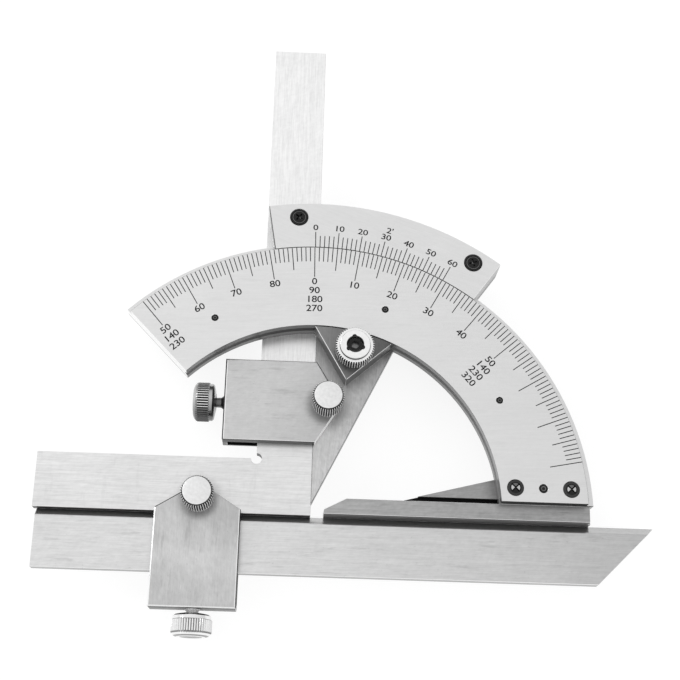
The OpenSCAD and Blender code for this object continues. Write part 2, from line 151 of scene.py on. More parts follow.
# The finishes of a knurl's grooves, of their flanks and of its ridges: painted shade in the grooves
# and on the flanks, a painted highlight on the ridges
KNURL = ("Knurl groove", "Knurl flank", "Knurl ridge")


def rgb(value):
    """The three values of a colour, which may be given as one grey."""
    return (value,) * 3 if isinstance(value, float) else tuple(value)


def length(name, description, value):
    """A property that holds a length, given in millimetres."""
    return FloatProperty(name=name, description=description, default=value * MM, min=0.0,
                         precision=5, unit="LENGTH")


def ridges(name, description, value):
    """A property that holds a number of ridges."""
    return IntProperty(name=name, description=description, default=value, min=12, max=90)


def colour(name, description, value):
    """A property that holds a colour."""
    return FloatVectorProperty(name=name, description=description, default=rgb(value), size=3,
                               min=0.0, max=1.0, subtype="COLOR")


class ProtractorSizes(bpy.types.PropertyGroup):
    """Sizes of the fine shapes"""

    edge: length("Plate edge", "Width of the small chamfer on the plates", 0.12)
    arm_edge: length("Arm edge", "Width of the chamfer on the square and the blade", 0.14)
    clamp_edge: length("Clamp edge", "Width of the chamfer on the clamps", 0.22)
    block_edge: length("Block edge", "Width of the chamfer on the guide block", 0.16)
    line_w: length("Line width", "Width of an engraved line", 0.215)
    proud: length("Line height", "How far the paint in a line stands above the face", 0.006)
    digit: length("Digit height", "Height of the numbers on the ring", 1.76)
    small_digit: length("Vernier digit height", "Height of the numbers on the vernier", 1.56)
    bold: length("Digit weight", "How far the strokes of the numbers are thickened", 0.025)
    knurl: length("Knurl depth", "Depth of the grooves in a knurled head", 0.26)
    knob_teeth: ridges("Front knob teeth", "Ridges round a front knob", 42)
    side_teeth: ridges("Side screw teeth", "Ridges round a side screw", 48)
    nut_teeth: ridges("Brake nut teeth", "Ridges round the brake nut", 48)
    dial_teeth: ridges("Dial teeth", "Ridges round the knob behind the plate", 56)


class ProtractorColours(bpy.types.PropertyGroup):
    """Colours of the finishes"""

    satin: colour("Satin steel", "Graduated faces", 0.76)
    bright: colour("Bright steel", "Square and blade", 0.93)
    ground: colour("Ground steel", "Clamps", 0.62)
    plate: colour("Plate steel", "Fan plate", 0.60)
    dark: colour("Dark steel", "Guide block", 0.27)
    rule: colour("Rule steel", "Base rule", 0.42)
    # Walls take darker copies of the steel, painted shade, and chamfers and knurl ridges take a
    # bright one, painted highlight
    wall: colour("Walls", "Side walls of the plates", 0.30)
    shade: colour("Dark walls", "Side walls of the guide block", 0.08)
    edge: colour("Edges", "Chamfered edges", 0.92)
    chrome: colour("Chrome", "Knobs and screws", 0.86)
    black: colour("Black steel", "Screws and pins", 0.018)
    brass: colour("Brass", "Pinion and bush", (0.62, 0.47, 0.22))
    ink: colour("Line paint", "Lines and numbers", (0.012, 0.012, 0.013))


def sizes():
    """The sizes that the user can change."""
    return bpy.context.scene.protractor_sizes


def tints():
    """The colours that the user can change."""
    return bpy.context.scene.protractor_colours


# Selecting and placing

def pick_none():
    """Leaves edit mode and deselects everything."""
    if bpy.context.mode != "OBJECT":
        bpy.ops.object.mode_set(mode="OBJECT")
    bpy.ops.object.select_all(action="DESELECT")


def pick(*pieces):
    """Selects these pieces alone, the first one active."""
    pick_none()
    for piece in pieces:
        piece.select_set(True)
    bpy.context.view_layer.objects.active = pieces[0]


def edit(piece, mode="FACE", action="DESELECT"):
    """Opens one piece in edit mode with nothing or everything selected."""
    pick(piece)
    bpy.ops.object.mode_set(mode="EDIT")
    bpy.ops.mesh.select_mode(type=mode)
    bpy.ops.mesh.select_all(action=action)


def leave():
    """Goes back to object mode."""
    bpy.ops.object.mode_set(mode="OBJECT")


def added():
    """The object that was just added, with its place put in its mesh."""
    bpy.ops.object.transform_apply(location=True, rotation=True, scale=True)
    return bpy.context.active_object


def set_all(target, **values):
    """Sets several attributes."""
    for name, value in values.items():
        setattr(target, name, value)


def apply_modifier(piece, kind, **settings):
    """Adds a modifier, sets it and applies it."""
    pick(piece)
    modifier = piece.modifiers.new(kind.title(), kind)
    set_all(modifier, **settings)
    bpy.ops.object.modifier_apply(modifier=modifier.name)


def place(piece, at=(0, 0, 0), turn=None):
    """Moves a piece that was made at the origin to its place and puts the place in its mesh."""
    pick(piece)
    piece.matrix_world = Matrix.Translation(Vector(at) * MM) @ (turn or Matrix.Identity(4))
    bpy.ops.object.transform_apply(location=True, rotation=True, scale=True)


def twin(piece, name, at=(0, 0, 0), turn=None):
    """A copy of a piece at another place, with its own mesh."""
    copy = bpy.data.objects.new(name, piece.data.copy())
    bpy.context.collection.objects.link(copy)
    place(copy, at, turn)
    return copy


def twins(master, places):
    """Copies of a master at pairs of a place and a turn; the master goes."""
    copies = [twin(master, "copy", at, turn) for at, turn in places]
    bpy.data.objects.remove(master)
    return copies


def join(pieces, name):
    """Joins pieces into the first one."""
    pick(*pieces)
    if len(pieces) > 1:
        bpy.ops.object.join()
    pieces[0].name = name
    return pieces[0]


def finish_piece(piece, body, slot, *nodes, smooth=24):
    """Shades a finished piece and hands it to the frame."""
    pick(piece)
    bpy.ops.object.shade_smooth_by_angle(angle=math.radians(smooth))
    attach(piece, body)
    if nodes:
        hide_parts(*nodes)


def around(angle, axis="Z"):
    """A turn about an axis, in degrees."""
    return Matrix.Rotation(math.radians(angle), 4, axis)


def on_circle(radius, angle, height):
    """A point at a radius, a direction and a height."""
    return (radius * math.cos(math.radians(angle)), radius * math.sin(math.radians(angle)), height)


def vernier_angle(mark):
    """The direction of a vernier line, of which 30 steps span 29 degrees."""
    return VERNIER_ZERO - mark * 29 / 30


def off_axis(point):
    """A point's distance from the Z axis."""
    return math.hypot(point.x, point.y)


# Giving finishes to faces

def give(piece, *names):
    """Fills a piece's material slots with these finishes."""
    piece.data.materials.clear()
    for name in names:
        piece.data.materials.append(bpy.data.materials[name])


def slot_of(piece, finish):
    """The number of a piece's slot with a finish, which is added if there is none."""
    if finish not in piece.data.materials:
        piece.data.materials.append(bpy.data.materials[finish])
    return piece.data.materials.find(finish)


def paint(piece, finish, test):
    """Gives a finish to the faces whose middle, in millimetres, and normal pass the test."""
    index = slot_of(piece, finish)
    for face in piece.data.polygons:
        if test(face.center / MM, face.normal):
            face.material_index = index


def within(out=(-1.0, FAR), z=(-FAR, FAR), up=(-2.0, 2.0)):
    """A test of a face's distance from the axis, its height and its normal's Z."""
    return lambda at, normal: (out[0] < off_axis(at) < out[1] and z[0] < at.z < z[1]
                               and up[0] < normal.z < up[1])


# Making meshes

def dressed(node, name):
    """A copy of a CAD node's mesh with its loose triangles merged into plain faces."""
    piece = bpy.data.objects.new(name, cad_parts[node].data.copy())
    bpy.context.collection.objects.link(piece)
    pick(piece)
    bpy.ops.mesh.customdata_custom_splitnormals_clear()
    edit(piece, "VERT", "SELECT")
    bpy.ops.mesh.remove_doubles(threshold=0.002 * MM)
    bpy.ops.mesh.dissolve_limited(angle_limit=math.radians(0.2))
    leave()
    return piece


def is_top(face, height):
    """Tells whether a face looks straight up at a height."""
    return face.normal.z > FLAT and abs(face.calc_center_median().z / MM - height) < NEAR


def chamfer_outline(piece, height, width):
    """Chamfers the long edges round the top face at a height, and gives them the third finish, the
    bright chamfers' painted highlight.
    """
    edit(piece, "EDGE")
    mesh = bmesh.from_edit_mesh(piece.data)
    for side in mesh.edges:
        tops = [is_top(face, height) for face in side.link_faces]
        side.select_set(tops.count(True) == 1 and side.calc_length() > 1.0 * MM)
    bmesh.update_edit_mesh(piece.data)
    bpy.ops.mesh.bevel(offset=width, segments=1, affect="EDGES", clamp_overlap=False,
                       material=2)
    leave()


def plate(node, name, face, width, wall="Satin wall", is_wall=within(up=(-WALL, WALL)),
          outline=0.0):
    """A dressed plate whose walls take a darker finish, painted shade, and whose chamfers take a
    bright one, painted highlight.
    """
    piece = dressed(node, name)
    give(piece, face, wall, "Bright edge")
    for polygon in piece.data.polygons:
        polygon.material_index = 1 if is_wall(polygon.center / MM, polygon.normal) else 0
    if outline:
        chamfer_outline(piece, top(node), outline)
    apply_modifier(piece, "BEVEL", width=width, segments=1, limit_method="ANGLE",
                   angle_limit=math.radians(40), material=2)
    return piece


def edge_strip(piece, height, width, keep):
    """Insets the top face at a height; the strip's parts that pass the test get a painted
    highlight.
    """
    edit(piece)
    mesh = bmesh.from_edit_mesh(piece.data)
    for face in mesh.faces:
        face.select_set(is_top(face, height))
    bmesh.update_edit_mesh(piece.data)
    bpy.ops.mesh.inset(thickness=width * MM, depth=0)
    bpy.ops.mesh.select_all(action="INVERT")
    leave()
    for face in piece.data.polygons:
        centre = face.center / MM
        if face.select and face.normal.z > FLAT and abs(centre.z - height) < NEAR and keep(centre):
            face.material_index = 2


def above(height, *rings):
    """Rings of radius and height, counted from a height."""
    return [(radius, height + rise) for radius, rise in rings]


def turned(name, rings, sides, bored=False):
    """A turned piece about Z, from rings of radius and height, with closed ends unless bored."""
    radius, height = rings[0]
    pick_none()
    bpy.ops.mesh.primitive_circle_add(vertices=sides, radius=radius * MM,
                                      fill_type="NOTHING" if bored else "NGON",
                                      location=(0, 0, height * MM))
    piece = added()
    piece.name = name
    edit(piece, "VERT", "SELECT")
    for next_radius, next_height in rings[1:] + (rings[:1] if bored else []):
        bpy.ops.mesh.extrude_region_move(
            TRANSFORM_OT_translate={"value": (0, 0, (next_height - height) * MM)})
        share = next_radius / radius
        bpy.ops.transform.resize(value=(share, share, 1), center_override=(0, 0, next_height * MM))
        radius, height = next_radius, next_height
    bpy.ops.mesh.select_all(action="SELECT")
    if bored:
        bpy.ops.mesh.remove_doubles(threshold=0.001 * MM)
    bpy.ops.mesh.normals_make_consistent(inside=False)
    leave()
    return piece


def knurled(piece, teeth, low, high, radius, depth, reach=0.4, finishes=KNURL):
    """Cuts straight flat-topped teeth into a turned piece that has four sides to a tooth."""
    step = 2 * math.pi / (4 * teeth)

    def in_groove(point):
        in_band = low - 0.01 < point.z < high + 0.01 and off_axis(point) > radius - reach
        return in_band and round(math.atan2(point.y, point.x) / step) % 4 in (2, 3)

    edit(piece, "VERT")
    mesh = bmesh.from_edit_mesh(piece.data)
    for point in mesh.verts:
        point.select_set(in_groove(point.co / MM))
    mesh.select_flush_mode()
    bmesh.update_edit_mesh(piece.data)
    share = (radius - depth) / radius
    bpy.ops.transform.resize(value=(share, share, 1), center_override=(0, 0, 0))
    leave()
    # The grooves, flanks and ridges take the three finishes, by default painted shade and a painted
    # highlight
    groove, flank, ridge = (slot_of(piece, finish) for finish in finishes)
    for face in piece.data.polygons:
        centre = face.center / MM
        wide = off_axis(centre) > radius - reach - depth
        if low < centre.z < high and wide and abs(face.normal.z) < WALL:
            side = math.atan2(centre.y, centre.x) / step % 4
            face.material_index = groove if 2 < side < 3 else flank if 1 < side < 4 else ridge


def block(size, at=(0, 0, 0), turn=0.0):
    """A rectangular cutter or bar, from its size and its middle."""
    pick_none()
    bpy.ops.mesh.primitive_cube_add(size=1, location=Vector(at) * MM,
                                    rotation=(0, 0, math.radians(turn)),
                                    scale=Vector(size) * MM)
    return added()


def prism(sides, radius, depth, at, turn=0.0):
    """An upright cutter with a few flat sides."""
    pick_none()
    bpy.ops.mesh.primitive_cylinder_add(vertices=sides, radius=radius * MM, depth=depth * MM,
                                        location=Vector(at) * MM,
                                        rotation=(0, 0, math.radians(turn)))
    return added()


def cut(piece, *cutters):
    """Cuts away the space of each cutter and removes the cutter."""
    for cutter in cutters:
        apply_modifier(piece, "BOOLEAN", object=cutter, operation="DIFFERENCE", solver="EXACT")
        bpy.data.objects.remove(cutter)


def cut_cross(piece, size, height, turn):
    """Cuts two crossed slots."""
    cut(piece, block(size, (0, 0, height), turn), block(size, (0, 0, height), turn + 90))


# Finishes

def feed(target, values):
    """Sets a node's inputs, from their names and values."""
    for name, value in values.items():
        target.inputs[name].default_value = value


def add_node(tree, kind, values=None, **attributes):
    """A new shader node with the values of its inputs and its attributes."""
    made = tree.nodes.new("ShaderNode" + kind)
    set_all(made, **attributes)
    feed(made, values or {})
    return made


def math_node(tree, operation, first, second, third=None):
    """The output of a Math node whose values are numbers or the outputs of other nodes."""
    made = add_node(tree, "Math", operation=operation)
    for socket, value in zip(made.inputs, (first, second, third)):
        if isinstance(value, bpy.types.NodeSocket):
            tree.links.new(value, socket)
        elif value is not None:
            socket.default_value = value
    return made.outputs[0]


def object_place(tree):
    """The Object coordinates."""
    return add_node(tree, "TexCoord").outputs["Object"]


def times(tree, first, *others):
    """The product of values, from left to right."""
    for other in others:
        first = math_node(tree, "MULTIPLY", first, other)
    return first


def line(tree, value, slope, start):
    """A value times a slope, plus a start."""
    return math_node(tree, "MULTIPLY_ADD", value, slope, start)


def new_finish(name, base, roughness, metallic, sheen=0.5):
    """The tree and the shader of a new plain material; sheen is its specular level."""
    finish = bpy.data.materials.new(name)
    finish.use_nodes = True
    shader = finish.node_tree.nodes["Principled BSDF"]
    feed(shader, {"Base Color": (*rgb(base), 1), "Roughness": roughness, "Metallic": metallic,
                  "Specular IOR Level": sheen})
    return finish.node_tree, shader


def tinted(tree, shader, base, tone):
    """Multiplies the base colour by a tone and links it to the shader."""
    mix = add_node(tree, "Mix", {"Factor": 1.0}, data_type="RGBA", blend_type="MULTIPLY")
    first, second = (socket for socket in mix.inputs if socket.type == "RGBA")
    first.default_value = (*rgb(base), 1)
    tree.links.new(tone, second)
    result = next(out for out in mix.outputs if out.type == "RGBA")
    tree.links.new(result, shader.inputs["Base Color"])


def bumped(tree, shader, height, relief, distance):
    """Raises the surface by a height pattern, as far as the distance in millimetres."""
    bump = add_node(tree, "Bump", {"Strength": relief, "Distance": distance * MM})
    tree.links.new(height, bump.inputs["Height"])
    tree.links.new(bump.outputs["Normal"], shader.inputs["Normal"])


def noise(tree, along, across, turn, detail, roughness):
    """A noise pattern whose features are long one way and narrow the other."""
    size = (along * MM, across * MM, across * MM)
    mapping = add_node(tree, "Mapping", {"Rotation": (0, 0, math.radians(turn)), "Scale": size},
                       vector_type="TEXTURE")
    tree.links.new(object_place(tree), mapping.inputs["Vector"])
    pattern = add_node(tree, "TexNoise", {"Scale": 1.0, "Detail": detail, "Roughness": roughness})
    tree.links.new(mapping.outputs["Vector"], pattern.inputs["Vector"])
    return pattern.outputs[0]


def swing(tree, pattern, amount):
    """Turns a pattern about its middle into a tone that swings about one."""
    return line(tree, pattern, amount * 2, 1 - amount)


def mapped(tree, value, low, high, first, last):
    """Maps a value smoothly from one range to another, and no further."""
    made = add_node(tree, "MapRange", {"From Min": low, "From Max": high, "To Min": first,
                                       "To Max": last}, interpolation_type="SMOOTHSTEP")
    tree.links.new(value, made.inputs["Value"])
    return made.outputs["Result"]


def graded(tree, axis, stops):
    """A tone that changes along one axis, from pairs of place in millimetres and tone."""
    split = add_node(tree, "SeparateXYZ")
    tree.links.new(object_place(tree), split.inputs[0])
    low, high = stops[0][0], stops[-1][0]
    share = line(tree, split.outputs[axis], 1 / (high - low) / MM, low / (low - high))
    ramp = add_node(tree, "ValToRGB")
    elements = ramp.color_ramp.elements
    for place_mm, tone in stops:
        spot = (place_mm - low) / (high - low)
        element = elements[0] if spot == 0 else elements[-1] if spot == 1 else elements.new(spot)
        element.color = (tone, tone, tone, 1)
    tree.links.new(share, ramp.inputs["Fac"])
    return ramp.outputs["Color"]


def halo(tree, centre, radius, reach, tone):
    """A painted shadow round a knob: a tone that is dark from the knob's radius outwards."""
    distance = add_node(tree, "VectorMath", operation="DISTANCE")
    tree.links.new(object_place(tree), distance.inputs[0])
    distance.inputs[1].default_value = Vector(centre) * MM
    return mapped(tree, distance.outputs["Value"], radius * MM, (radius + reach) * MM, tone, 1.0)


def shaded(tree, tone, grades, painted_knob_shadows):
    """A tone times its grades along the axes, given by their letters, which mostly paint light and
    shade, and its painted shadows round knobs.
    """
    return times(tree, tone, *(graded(tree, axis.upper(), stops) for axis, stops in grades.items()),
                 *(halo(tree, *values) for values in painted_knob_shadows))


def grain(tree, along, across, turn):
    """Coarse and fine brush marks together."""
    coarse = noise(tree, along, across, turn, 5.0, 0.68)
    fine = noise(tree, along * 0.35, across * 0.25, turn + 0.6, 3.0, 0.6)
    return line(tree, fine, 0.45, times(tree, coarse, 0.55))


def brushed(name, base, roughness, turn=0.0, contrast=0.30, mottle=0.08, cloud=0.05, pits=0.15,
            relief=0.08, along=12.0, across=0.7, crossing=None, metallic=1.0, painted_knob_shadows=(), **grades):
    """Steel that was ground or brushed in one direction, with a cloudy sheen, pits and stains, and
    with light and shade painted on by its grades and its knob shadows.

    Crossing gives two heights in Y between which the grain turns by a right angle.
    """
    tree, shader = new_finish(name, base, roughness, metallic)
    streaks = grain(tree, along, across, turn)
    if crossing:
        other = grain(tree, along, across, turn + 90)
        share = graded(tree, "Y", ((crossing[0], 0.0), (crossing[1], 1.0)))
        streaks = line(tree, math_node(tree, "SUBTRACT", other, streaks), share, streaks)
    spots = noise(tree, 1.5, 1.0, turn + 30, 4.0, 0.62)
    patches = noise(tree, 13.0, 7.0, turn + 12.0, 3.0, 0.55)
    specks = noise(tree, 0.7, 0.45, turn, 2.0, 0.5)
    stains = noise(tree, 9.0, 1.6, turn + (90 if crossing else 0), 3.0, 0.6)
    tone = times(tree, swing(tree, streaks, contrast), swing(tree, spots, mottle),
                 swing(tree, patches, cloud), mapped(tree, specks, 0.66, 0.78, 1.0, 1.0 - pits),
                 mapped(tree, stains, 0.58, 0.72, 1.0, 1.0 - pits))
    tinted(tree, shader, base, shaded(tree, tone, grades, painted_knob_shadows))
    tree.links.new(line(tree, streaks, SPREAD * 2, roughness - SPREAD), shader.inputs["Roughness"])
    bumped(tree, shader, times(tree, streaks, tone), relief, 0.02)


def polished(name, base, roughness, metallic=1.0, mottle=0.08, size=0.8, sheen=0.5, **grades):
    """Smooth metal with faint handling marks, or paint when it isn't metallic, with light and shade
    painted on by its grades.
    """
    tree, shader = new_finish(name, base, roughness, metallic, sheen)
    marks = noise(tree, size, size, 0.0, 4.0, 0.6)
    tinted(tree, shader, base, shaded(tree, swing(tree, marks, mottle), grades, ()))
    tree.links.new(line(tree, marks, roughness * 0.5, roughness * 0.75), shader.inputs["Roughness"])
    bumped(tree, shader, marks, 0.04, 0.01)


class PROTRACTOR_OT_finishes(bpy.types.Operator):
    """Makes the steel, chrome, brass and paint finishes"""

    bl_idname = "protractor.finishes"
    bl_label = "Finishes"

    def execute(self, context):
        knob, low_knob = middle("square_clamp_knob"), middle("blade_clamp_knob")
        self.plates(knob)
        self.arms(low_knob)
        self.clamps(knob, low_knob)
        self.walls()
        self.knobs()
        return {"FINISHED"}

    def plates(self, knob):
        faint = {"contrast": 0.11, "mottle": 0.03, "cloud": 0.03, "pits": 0.04, "relief": 0.04}
        # The ring's face darkens a little towards its right end
        brushed("Ring face", tints().satin, 0.40, turn=2, **faint,
                x=((-60, 1.0), (20, 1.0), (68, 0.95)))
        brushed("Vernier face", tints().satin, 0.40, turn=-20, **faint)
        # Painted shade: the fan plate grows darker towards +Y, with a painted shadow round the
        # square clamp's knob
        brushed("Plate steel", tints().plate, 0.36, turn=86, contrast=0.46, mottle=0.26, cloud=0.16,
                across=0.5, y=((0, 1.0), (16, 0.96), (30, 0.80), (42, 0.62), (80, 0.62)),
                painted_knob_shadows=[((knob.x, knob.y, ARM_Z), 3.9, 3.0, 0.72)])
        # Painted light: the guide block grows darker from its left end to its right
        brushed("Block steel", tints().dark, 0.34, turn=88, contrast=0.30, mottle=0.16, cloud=0.14,
                across=0.4, x=((-1, 1.0), (4, 0.80), (9, 0.62), (18, 0.42)))
        # Painted light: the base rule darkens towards its right end, and its flange towards its
        # left tip
        brushed("Rule steel", tints().rule, 0.38, turn=0, contrast=0.60, mottle=0.20, cloud=0.06,
                across=0.4, x=((2, 1.0), (30, 0.95), (67, 0.83)))
        brushed("Flange steel", tints().rule, 0.38, turn=8, contrast=0.55, mottle=0.22, cloud=0.14,
                across=0.5, x=((18, 0.62), (28, 0.80), (50, 0.86)))

    def arms(self, low_knob):
        # Painted light and shade: the square grows lighter up its upright, with a painted shadow
        # round the blade clamp's knob
        brushed("Square steel", tints().bright, 0.34, contrast=0.34, mottle=0.09, cloud=0.06,
                pits=0.05, crossing=(14.0, 34.0),
                y=((-2, 0.82), (14, 0.84), (40, 0.96), (70, 0.97), (100, 1.0)),
                painted_knob_shadows=[((low_knob.x, low_knob.y, ARM_Z), 4.0, 2.5, 0.80)])
        # Painted light: the blade and its bevel darken towards the tip
        brushed("Blade steel", tints().bright, 0.34, contrast=0.32, mottle=0.10, cloud=0.06,
                pits=0.14, x=((-67, 0.78), (-10, 0.77), (25, 0.69), (57, 0.63), (84, 0.53)))
        brushed("Bevel steel", 0.64, 0.30, contrast=0.24, mottle=0.10, metallic=0.92,
                x=((-67, 1.0), (10, 0.95), (84, 0.80)))

    def clamps(self, knob, low_knob):
        # Painted light and shade: each clamp darkens along its length, with a painted shadow round
        # its knob
        brushed("Square clamp steel", tints().ground, 0.36, turn=1, contrast=0.24, mottle=0.12,
                cloud=0.10, along=5.0, across=0.35, x=((-23, 1.0), (-8, 0.97), (4, 0.86)),
                painted_knob_shadows=[((knob.x - 0.3, knob.y - 0.6, 5.6), 3.9, 2.2, 0.66)])
        brushed("Blade clamp steel", tints().ground, 0.36, turn=89, contrast=0.34, mottle=0.16,
                cloud=0.26, along=6.0, across=0.35,
                y=((-26, 0.78), (-23, 0.93), (-12, 1.0), (-2, 0.88)),
                painted_knob_shadows=[((low_knob.x, low_knob.y - 0.6, 5.6), 3.9, 1.9, 0.74)])
        # Painted shade: the clamp walls are dark above a lighter foot
        brushed("Clamp wall", tints().wall, 0.40, metallic=0.5,
                z=((0, 0.80), (2.2, 0.60), (3.2, 0.13), (5.6, 0.13)))

    def walls(self):
        # Darker copies of the steel for the walls, painted shade
        brushed("Satin wall", tints().wall, 0.30)
        brushed("Dark wall", tints().shade, 0.32)
        # Painted shade and reflection on the ring's inner wall, darkest in its middle
        brushed("Ring inside", tints().wall, 0.34, contrast=0.4, along=10.0, across=0.6,
                metallic=0.8,
                x=((-50, 0.90), (-30, 0.62), (-10, 0.32), (14, 0.30), (30, 0.55), (50, 1.0)))
        # Painted shade: a black band along the top of the ring's end
        polished("Ring end", 0.66, 0.50, metallic=0.2, sheen=0.2,
                 z=((5.5, 1.0), (6.0, 1.0), (6.2, 0.005), (9.2, 0.005)))
        # Painted shade in dark bands across the rule's front wall
        brushed("Rule wall", 0.27, 0.40, metallic=0.3, contrast=0.30,
                z=((0, 0.70), (3.0, 0.70), (3.3, 0.55), (3.8, 0.60), (4.0, 1.0), (4.8, 1.0),
                   (5.1, 0.60), (5.9, 0.60)))
        # A darker copy of the steel for the square's walls, painted shade
        brushed("Square wall", 0.085, 0.40, metallic=0.3)
        brushed("Inner steel", 0.12, 0.42)
        # Painted shade in grooves, gaps and on dull chamfers, where some seams are real joints, and
        # black painted shadow in slots and channels
        polished("Dark seam", 0.04, 0.45, metallic=0.3, sheen=0.2)
        polished("Shadow gap", 0.006, 0.60, metallic=0.0, sheen=0.1)
        # A white painted highlight
        polished("Lit edge", 1.0, 0.45, metallic=0.0)
        # A painted highlight on the ring's left end, with painted shade at its foot
        polished("Ring left end", tints().edge, 0.25,
                 z=((3.0, 0.45), (3.7, 0.45), (3.9, 1.0), (9.2, 1.0)))
        # A dark copy for chamfers in painted shade and for dim painted glints, and a bright copy
        # for chamfers with a painted highlight
        polished("Dull edge", 0.16, 0.35)
        polished("Bright edge", tints().edge, 0.30)

    def knobs(self):
        y = middle("square_pad_screw").y
        polished("Chrome", tints().chrome, 0.16, size=1.2)
        # Painted light: the square's side screw is lighter above and darker below, its ridges
        # brightest in the middle
        polished("Dark chrome", tints().chrome, 0.22, size=1.2,
                 y=((y - 5, 0.16), (y - 3, 0.32), (y, 0.62), (y + 3, 0.50), (y + 5, 0.72)))
        polished("Dark chrome ridge", 1.0, 0.30, metallic=0.6,
                 y=((y - 5, 0.12), (y - 2.9, 0.25), (y - 2.3, 1.0), (y + 2.6, 1.0),
                    (y + 3.2, 0.50), (y + 5, 0.72)))
        polished("Knob top", 0.83, 0.34, size=0.7, mottle=0.16)
        # A painted highlight on the knurls' ridges, and painted shade in their grooves and on their
        # flanks
        polished("Knurl ridge", tints().edge, 0.40, metallic=0.2)
        polished("Knurl groove", 0.02, 0.50, metallic=0.3, sheen=0.1)
        polished("Knurl flank", 0.10, 0.35, metallic=0.6)
        polished("Black steel", tints().black, 0.40, metallic=0.3, mottle=0.3, sheen=0.15)
        # Painted highlights: grey rings and glints on the black screws, stud and pins, and brighter
        # glints on the base screws
        polished("Black edge", 0.17, 0.28)
        polished("Glint", 0.55, 0.30)
        polished("Brass", tints().brass, 0.30)
        polished("Line paint", tints().ink, 0.60, metallic=0.0, mottle=0.1, sheen=0.1)


# Plates

class PROTRACTOR_OT_ring(bpy.types.Operator):
    """Dresses the graduated ring"""

    bl_idname = "protractor.ring"
    bl_label = "Graduated Ring"

    def execute(self, context):
        ring = plate("main_scale", "graduated_ring", "Ring face", sizes().edge)
        paint(ring, "Dark seam", within((SCALE_R - 0.12, SCALE_R + 0.12), (FACE_Z - 0.2, FAR)))
        # Painted shade and reflection on the inner wall and underside, a band of painted shade on
        # the end, and painted light and shade on the left end
        paint(ring, "Ring inside", lambda at, normal: (abs(normal.z) < 0.9 or at.z < FACE_Z - 0.5)
              and off_axis(at) < RING_IN_R + 2.2)
        paint(ring, "Ring end", lambda at, normal: normal.y < -0.6 and at.x > RING_IN_R
              and at.y < 14)
        paint(ring, "Ring left end", lambda at, normal: normal.x < -0.4 and normal.y < -0.4
              and at.x < -30)
        finish_piece(ring, "scale_body", "satin_steel", "main_scale")
        return {"FINISHED"}


class PROTRACTOR_OT_vernier(bpy.types.Operator):
    """Dresses the vernier arc and the seat under it"""

    bl_idname = "protractor.vernier"
    bl_label = "Vernier"

    def execute(self, context):
        arc = plate("vernier_plate", "vernier_arc", "Vernier face", sizes().edge)
        # A dark seam along the ring, and painted shade on the walls of the left end
        paint(arc, "Dark seam", lambda at, normal: abs(normal.z) < 0.9
              and (off_axis(at) < SCALE_R + 0.25 or (at.x < -11 and normal.x < -0.5)))
        finish_piece(arc, "fan_body", "satin_steel", "vernier_plate")
        # The step under the vernier takes the walls' darker steel all over, painted shade
        seat = plate("vernier_seat", "vernier_step", "Satin wall", sizes().edge / 2)
        finish_piece(seat, "fan_body", "satin_steel", "vernier_seat")
        return {"FINISHED"}


class PROTRACTOR_OT_fan(bpy.types.Operator):
    """Dresses the fan plate and the guide block"""

    bl_idname = "protractor.fan"
    bl_label = "Fan Plate and Block"

    def execute(self, context):
        fan = plate("fan_plate", "fan_carrier", "Plate steel", sizes().arm_edge)
        # Painted shade on the fan plate's side edges
        paint(fan, "Dull edge", lambda at, normal: abs(normal.z) < WALL and abs(normal.x) > 0.4)
        finish_piece(fan, "fan_body", "plate_steel", "fan_plate")
        # The guide block's walls are painted in dark shade
        wedge = plate("guide_block", "guide_wedge", "Block steel", sizes().block_edge, "Dark wall")
        finish_piece(wedge, "fan_body", "dark_steel", "guide_block")
        return {"FINISHED"}


class PROTRACTOR_OT_rule(bpy.types.Operator):
    """Dresses the base rule and its screwed flange"""

    bl_idname = "protractor.rule"
    bl_label = "Base Rule"

    def execute(self, context):
        rule = plate("base_rule", "base_straightedge", "Rule steel", sizes().edge * 0.6)
        slot_size, slot_middle = (52, 1.72, 1.3), (45, 3.48, 2.45)
        cut(rule, block(slot_size, slot_middle))
        seat = under("main_scale")
        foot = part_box("base_rule")[0].y / MM
        paint(rule, "Flange steel", within(z=(seat - 0.3, seat + 0.1), up=(WALL, 2)))
        paint(rule, "Shadow gap", lambda at, normal: 1.0 < at.z < seat - NEAR
              and foot + 3.7 < at.y < foot + 5.6 and normal.z > -0.5)
        # Painted shade in dark bands on the front wall
        paint(rule, "Rule wall", lambda at, normal: normal.y < -0.9)
        finish_piece(rule, "scale_body", "rule_steel", "base_rule")
        return {"FINISHED"}


class PROTRACTOR_OT_arms(bpy.types.Operator):
    """Dresses the square and the straight blade"""

    bl_idname = "protractor.arms"
    bl_label = "Square and Blade"

    def execute(self, context):
        square = plate("try_square", "steel_square", "Square steel", sizes().arm_edge,
                       "Square wall")
        # Painted shade on the square's right edge, next to the fan plate
        paint(square, "Dull edge", lambda at, normal: normal.x > 0.4 and at.x > -1)
        finish_piece(square, "square_body", "bright_steel", "try_square")
        blade = plate("blade", "straight_blade", "Blade steel", sizes().arm_edge,
                      is_wall=within(up=(-0.6, 0.6)))
        paint(blade, "Bevel steel", lambda at, normal: normal.y > 0.1 and 0.4 < normal.z < 0.998)
        finish_piece(blade, "blade_body", "bright_steel", "blade")
        return {"FINISHED"}


